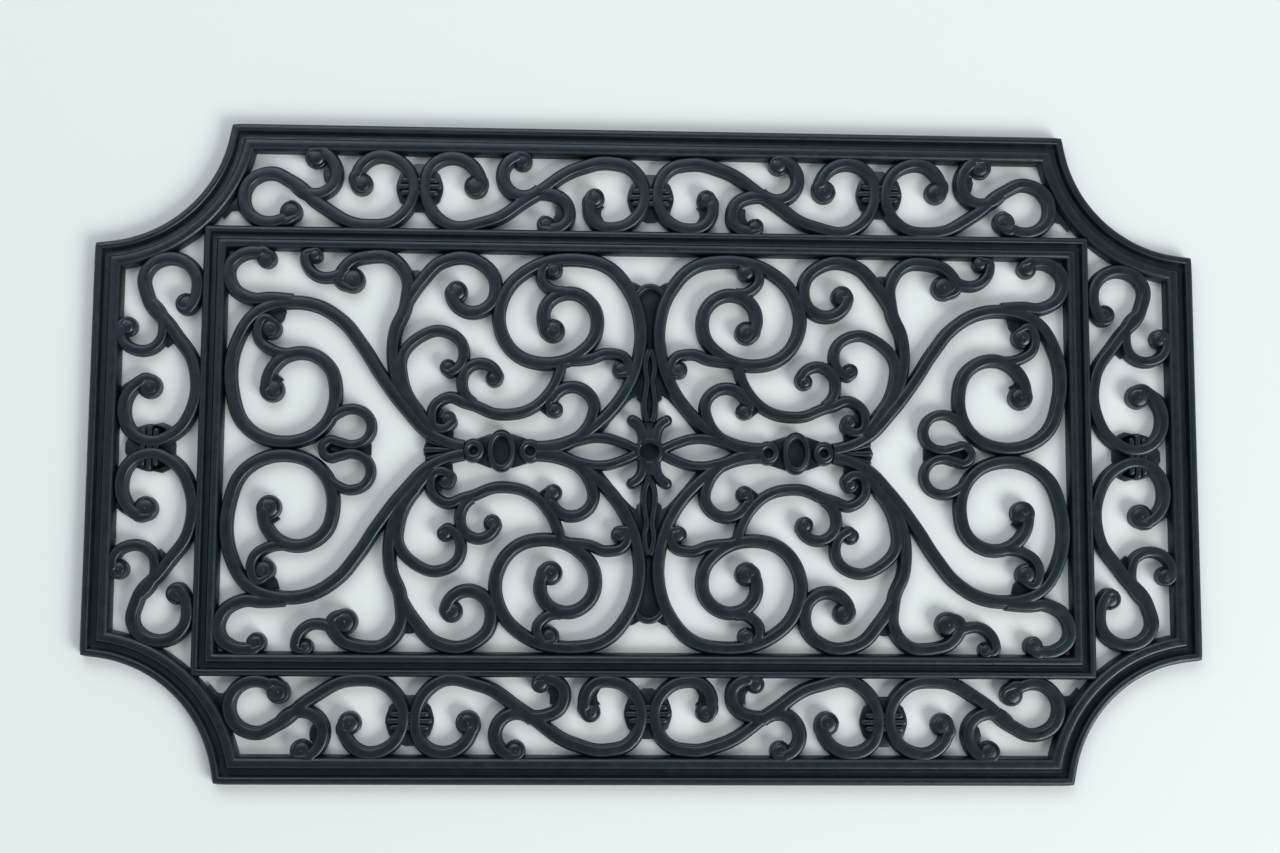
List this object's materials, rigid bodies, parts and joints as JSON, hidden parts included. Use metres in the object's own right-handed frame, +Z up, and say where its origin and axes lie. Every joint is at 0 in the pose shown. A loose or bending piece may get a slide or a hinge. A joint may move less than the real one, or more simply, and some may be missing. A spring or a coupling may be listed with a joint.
{
  "type": "door mat",
  "caption": "Moulded black rubber door mat in open scrollwork, with hollow corners, ribbed outer and inner frames, spiral scrolls, ties and a small rosette.",
  "frame": {"origin": "middle of the underside, on the floor", "axes": "+X along the mat's length, +Y across its depth, +Z up"},
  "size_m": [0.75, 0.444, 0.009],
  "materials": {
    "rubber": "satin"
  },
  "bodies": {
    "root": {"outer_corner_back_right": "rubber", "outer_corner_back_left": "rubber", "outer_corner_front_right": "rubber", "outer_corner_front_left": "rubber", "ring_scroll_back_right": "rubber", "ring_scroll_back_left": "rubber", "ring_scroll_front_right": "rubber", "ring_scroll_front_left": "rubber", "link_scroll_back_right": "rubber", "link_scroll_back_left": "rubber", "link_scroll_front_right": "rubber", "link_scroll_front_left": "rubber", "stem_scroll_back_right": "rubber", "stem_scroll_back_left": "rubber", "stem_scroll_front_right": "rubber", "stem_scroll_front_left": "rubber", "heart_scroll_back_right": "rubber", "heart_scroll_back_left": "rubber", "heart_scroll_front_right": "rubber", "heart_scroll_front_left": "rubber", "border_scroll_back_right": "rubber", "border_scroll_back_left": "rubber", "border_scroll_front_right": "rubber", "border_scroll_front_left": "rubber", "border_end_scroll_back_right": "rubber", "border_end_scroll_back_left": "rubber", "border_end_scroll_front_right": "rubber", "border_end_scroll_front_left": "rubber", "side_scroll_back_right": "rubber", "side_scroll_back_left": "rubber", "side_scroll_front_right": "rubber", "side_scroll_front_left": "rubber", "outer_end_rail_right": "rubber", "outer_end_rail_left": "rubber", "inner_end_rail_right": "rubber", "inner_end_rail_left": "rubber", "end_tie_right": "rubber", "end_tie_left": "rubber", "bow_right": "rubber", "bow_left": "rubber", "bead_link_right": "rubber", "bead_link_left": "rubber", "petal_right": "rubber", "petal_left": "rubber", "outer_long_rail_back": "rubber", "outer_long_rail_front": "rubber", "inner_long_rail_back": "rubber", "inner_long_rail_front": "rubber", "middle_tie_back": "rubber", "middle_tie_front": "rubber", "border_ties_back": "rubber", "border_ties_front": "rubber", "upright_leaf_back": "rubber", "upright_leaf_front": "rubber", "gusset_back": "rubber", "gusset_front": "rubber", "rosette": "rubber"}
  },
  "joints": []
}
